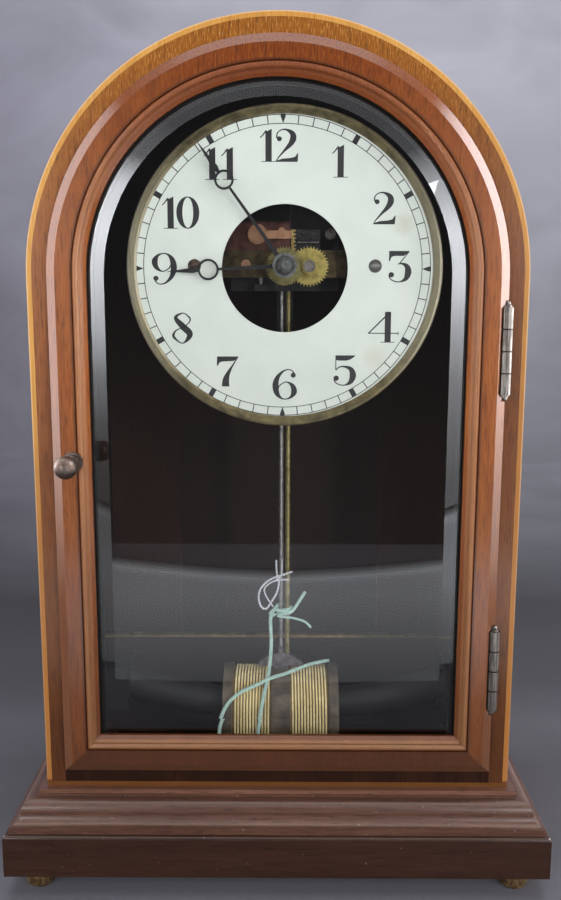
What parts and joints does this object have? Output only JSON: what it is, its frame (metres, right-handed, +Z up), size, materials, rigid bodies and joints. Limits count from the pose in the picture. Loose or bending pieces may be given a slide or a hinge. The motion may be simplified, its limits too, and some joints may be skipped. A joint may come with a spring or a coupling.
{
  "type": "electric clock",
  "caption": "Arched mahogany mantel clock on a moulded plinth: glazed door, open dial and an electromagnetic coil pendulum over a curved bar magnet.",
  "frame": {"origin": "on the table, under the middle of the clock's bounding box", "axes": "+Z up the clock's height, -Y out of the dial and the front door, +X to the right as seen from the front"},
  "size_m": [0.2526, 0.174, 0.392],
  "materials": {
    "foot_brass": "worn turned brass",
    "plinth_wood": "polished dark mahogany",
    "case_wood": "polished red mahogany",
    "inlay_wood": "polished light stringing",
    "stop_wood": "black stain",
    "bead_black": "black putty bead",
    "plate_glass": "clear bevelled plate",
    "hinge_bronze": "dark aged bronze",
    "knob_nickel": "worn nickel plate",
    "fitting_brass": "satin brass",
    "dial_silver": "silvered dial with black figures",
    "bezel_gilt": "dull gilt brass",
    "screw_copper": "bronzed screw heads",
    "hand_black": "black hands",
    "steel": "polished steel",
    "work_brass": "satin clock brass",
    "plate_bronze": "purple-brown bronzed brass",
    "strip_copper": "copper strip",
    "ebonite": "black hard rubber",
    "black_metal": "black japanned metal",
    "bobbin_brown": "brown varnished fibre",
    "covered_wire": "gold silk-covered wire",
    "battery_case": "paper label and brass strips",
    "green_string": "pale green twine",
    "white_string": "thin white thread"
  },
  "bodies": {
    "case": {"feet": "foot_brass", "plinth_board": "plinth_wood", "plinth_slab": "plinth_wood", "plinth_moulding": "plinth_wood", "plinth_cap": "plinth_wood", "battery_board": "plinth_wood", "case_shell": "case_wood", "case_bottom_rail": "case_wood", "back_board": "case_wood", "front_stringing": "inlay_wood", "door_stop": "stop_wood", "hinge_case_leaves": "hinge_bronze", "hinge_pins": "hinge_bronze", "back_screws": "fitting_brass", "latch_keeper": "fitting_brass", "brass_edging": "fitting_brass", "dial_plate": "dial_silver", "dial_bezel": "bezel_gilt", "dial_screws": "screw_copper", "movement_screws": "steel", "dial_bar": "work_brass", "contact_plate": "plate_bronze", "contact_strip": "strip_copper", "insulator_block": "ebonite", "rear_plate": "black_metal", "movement_bracket": "black_metal", "magnet": "black_metal", "magnet_clamps": "black_metal", "battery": "battery_case"},
    "front_door": {"door_frame": "case_wood", "door_glass": "plate_glass", "glass_bead": "bead_black", "hinge_door_leaves": "hinge_bronze", "knob_rose": "knob_nickel"},
    "door_knob": {"door_knob": "knob_nickel", "latch_tongue": "fitting_brass"},
    "turn_button": {"turn_button": "fitting_brass"},
    "rear_panel": {"rear_panel": "case_wood"},
    "minute_work": {"minute_arbor": "steel", "worm_wheel": "work_brass", "minute_hand": "hand_black", "hand_nut": "steel"},
    "hour_work": {"hour_wheel": "work_brass", "hour_hand": "hand_black"},
    "minute_wheel": {"minute_wheel": "work_brass"},
    "worm": {"worm_shaft": "steel", "ratchet_wheel": "work_brass"},
    "pendulum": {"suspension_spring": "steel", "pendulum_head": "work_brass", "steel_rod": "steel", "brass_rod": "work_brass", "coil_bobbin": "bobbin_brown", "coil_winding_left": "covered_wire", "coil_winding_right": "covered_wire", "coil_hanger": "steel", "tie_knot": "green_string", "tie_string": "green_string", "tie_loop": "white_string"},
    "rating_nut": {"rating_nut": "steel"},
    "contact_lever": {"contact_lever": "steel"}
  },
  "joints": [
    {"name": "door_swing", "type": "hinge", "parent": "case", "child": "front_door", "pos_m": [0.0992, -0.0665, 0.179], "axis": [0, 0, 1], "range_deg": [0, 110]},
    {"name": "knob_turn", "type": "hinge", "parent": "front_door", "child": "door_knob", "pos_m": [-0.0903, -0.063, 0.203], "axis": [0, 1, 0], "range_deg": [0, 90]},
    {"name": "button_turn", "type": "hinge", "parent": "case", "child": "turn_button", "pos_m": [0, 0.082, 0.211], "axis": [0, 1, 0], "range_deg": [0, 90]},
    {"name": "panel_out", "type": "slide", "parent": "case", "child": "rear_panel", "axis": [0, 1, 0], "range_m": [0, 0.06]},
    {"name": "minute_spin", "type": "hinge", "parent": "case", "child": "minute_work", "pos_m": [0.003, -0.043, 0.289], "axis": [0, 1, 0], "continuous": true},
    {"name": "hour_spin", "type": "hinge", "parent": "case", "child": "hour_work", "pos_m": [0.003, -0.043, 0.289], "axis": [0, 1, 0], "continuous": true},
    {"name": "minute_wheel_spin", "type": "hinge", "parent": "case", "child": "minute_wheel", "pos_m": [0.0142, -0.033, 0.289], "axis": [0, 1, 0], "continuous": true},
    {"name": "worm_spin", "type": "hinge", "parent": "case", "child": "worm", "pos_m": [-0.00832, -0.02, 0.289], "axis": [0, 0, 1], "continuous": true},
    {"name": "pendulum_swing", "type": "hinge", "parent": "case", "child": "pendulum", "pos_m": [0.003, -0.007, 0.33], "axis": [0, 1, 0], "range_deg": [-5, 5]},
    {"name": "nut_spin", "type": "hinge", "parent": "pendulum", "child": "rating_nut", "pos_m": [0.0015, -0.007, 0.0935], "axis": [0, 0, 1], "continuous": true},
    {"name": "lever_rock", "type": "hinge", "parent": "case", "child": "contact_lever", "pos_m": [0.003, -0.017, 0.322], "axis": [0, 1, 0], "range_deg": [-7.3, 7.3]}
  ],
  "couplings": [
    {"joint": "hour_spin", "follows": "minute_spin", "ratio": 0.083333},
    {"joint": "minute_wheel_spin", "follows": "minute_spin", "ratio": -0.27778},
    {"joint": "worm_spin", "follows": "minute_spin", "ratio": -40},
    {"joint": "lever_rock", "follows": "pendulum_swing", "ratio": 1.4444}
  ]
}
